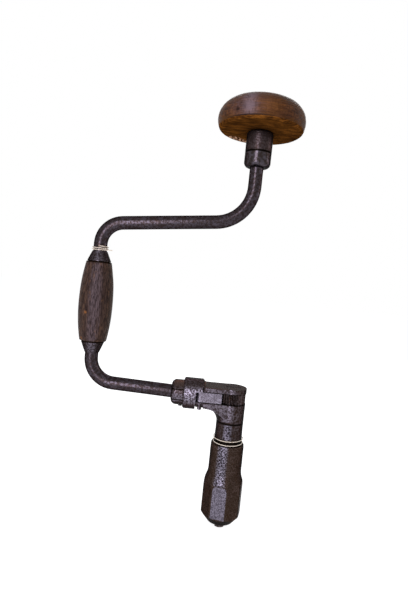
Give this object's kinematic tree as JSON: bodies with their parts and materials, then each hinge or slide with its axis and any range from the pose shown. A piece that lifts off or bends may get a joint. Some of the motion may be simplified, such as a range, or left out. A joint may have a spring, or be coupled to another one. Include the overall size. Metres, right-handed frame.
{
  "type": "bit brace",
  "caption": "Hand-cranked bit brace: wooden head on a ball bearing, bent iron crank with turning grip, box ratchet with cam ring, and jaw chuck with threaded shell.",
  "frame": {"origin": "centre of the mouth between the two jaws, where the bit enters", "axes": "+Z along the main axis from the jaws to the wooden head, -X towards the crank grip, -Y towards the side seen in the picture"},
  "size_m": [0.1776, 0.074, 0.3698],
  "materials": {
    "frame_iron": "dark, oiled and lightly pitted",
    "box_iron": "dark, worn bright brown on edges",
    "shell_iron": "dark, knurled above and faceted below",
    "worn_steel": "dull, worn",
    "spring_steel": "dull",
    "head_wood": "oiled, worn",
    "grip_wood": "oiled, worn and chipped",
    "tie_wire": "pale, dull"
  },
  "bodies": {
    "frame": {"sweep_frame": "frame_iron", "head_bearing_collar": "frame_iron", "bearing_balls": "worn_steel", "spindle_washer": "worn_steel", "spindle_nut": "worn_steel", "grip_top_collar": "frame_iron", "grip_bottom_collar": "frame_iron", "grip_tie_wire": "tie_wire", "ratchet_box": "box_iron", "frame_pin": "worn_steel", "pawl_pins": "worn_steel", "pawl_spring": "spring_steel"},
    "head": {"wooden_head": "head_wood", "head_quill": "frame_iron"},
    "grip": {"wooden_grip": "grip_wood"},
    "ring": {"cam_ring": "box_iron"},
    "front_pawl": {"front_pawl": "worn_steel"},
    "rear_pawl": {"rear_pawl": "worn_steel"},
    "chuck": {"chuck_spindle": "box_iron", "ratchet_wheel": "worn_steel", "wheel_pin": "worn_steel", "spindle_screw": "worn_steel", "jaw_spring": "spring_steel", "neck_tie_wire": "tie_wire"},
    "thrust_ring": {"thrust_ring": "worn_steel"},
    "shell": {"chuck_shell": "shell_iron"},
    "front_jaw": {"front_jaw": "worn_steel"},
    "rear_jaw": {"rear_jaw": "worn_steel"}
  },
  "joints": [
    {"name": "head_spin", "type": "hinge", "parent": "frame", "child": "head", "pos_m": [0, 0, 0.35], "axis": [0, 0, 1], "continuous": true},
    {"name": "grip_spin", "type": "hinge", "parent": "frame", "child": "grip", "pos_m": [-0.126, 0, 0.188], "axis": [0, 0, 1], "continuous": true},
    {"name": "chuck_spin", "type": "hinge", "parent": "frame", "child": "chuck", "pos_m": [0, 0, 0.1163], "axis": [0, 0, 1], "continuous": true},
    {"name": "ring_turn", "type": "hinge", "parent": "frame", "child": "ring", "pos_m": [-0.035, 0, 0.1163], "axis": [1, 0, 0], "range_deg": [-35, 35]},
    {"name": "front_pawl_tilt", "type": "hinge", "parent": "frame", "child": "front_pawl", "pos_m": [-0.0281, -0.00812, 0.1163], "axis": [0, 0, 1], "range_deg": [-2.33, 2.33]},
    {"name": "rear_pawl_tilt", "type": "hinge", "parent": "frame", "child": "rear_pawl", "pos_m": [-0.0281, 0.00812, 0.1163], "axis": [0, 0, 1], "range_deg": [-2.33, 2.33]},
    {"name": "shell_feed", "type": "slide", "parent": "chuck", "child": "thrust_ring", "axis": [0, 0, -1], "range_m": [0, 0.01]},
    {"name": "shell_turn", "type": "hinge", "parent": "thrust_ring", "child": "shell", "pos_m": [0, 0, 0.04], "axis": [0, 0, -1], "range_deg": [0, 1440]},
    {"name": "front_jaw_tilt", "type": "hinge", "parent": "chuck", "child": "front_jaw", "pos_m": [0, -0.005, 0.04], "axis": [-1, 0, 0], "range_deg": [0, 4.8]},
    {"name": "rear_jaw_tilt", "type": "hinge", "parent": "chuck", "child": "rear_jaw", "pos_m": [0, 0.005, 0.04], "axis": [1, 0, 0], "range_deg": [0, 4.8]}
  ],
  "couplings": [
    {"joint": "front_pawl_tilt", "follows": "ring_turn", "ratio": -0.0665},
    {"joint": "rear_pawl_tilt", "follows": "ring_turn", "ratio": -0.0665},
    {"joint": "shell_feed", "follows": "shell_turn", "m_per_rad": 0.0003978},
    {"joint": "front_jaw_tilt", "follows": "shell_turn", "ratio": 0.00333},
    {"joint": "rear_jaw_tilt", "follows": "shell_turn", "ratio": 0.00333}
  ]
}
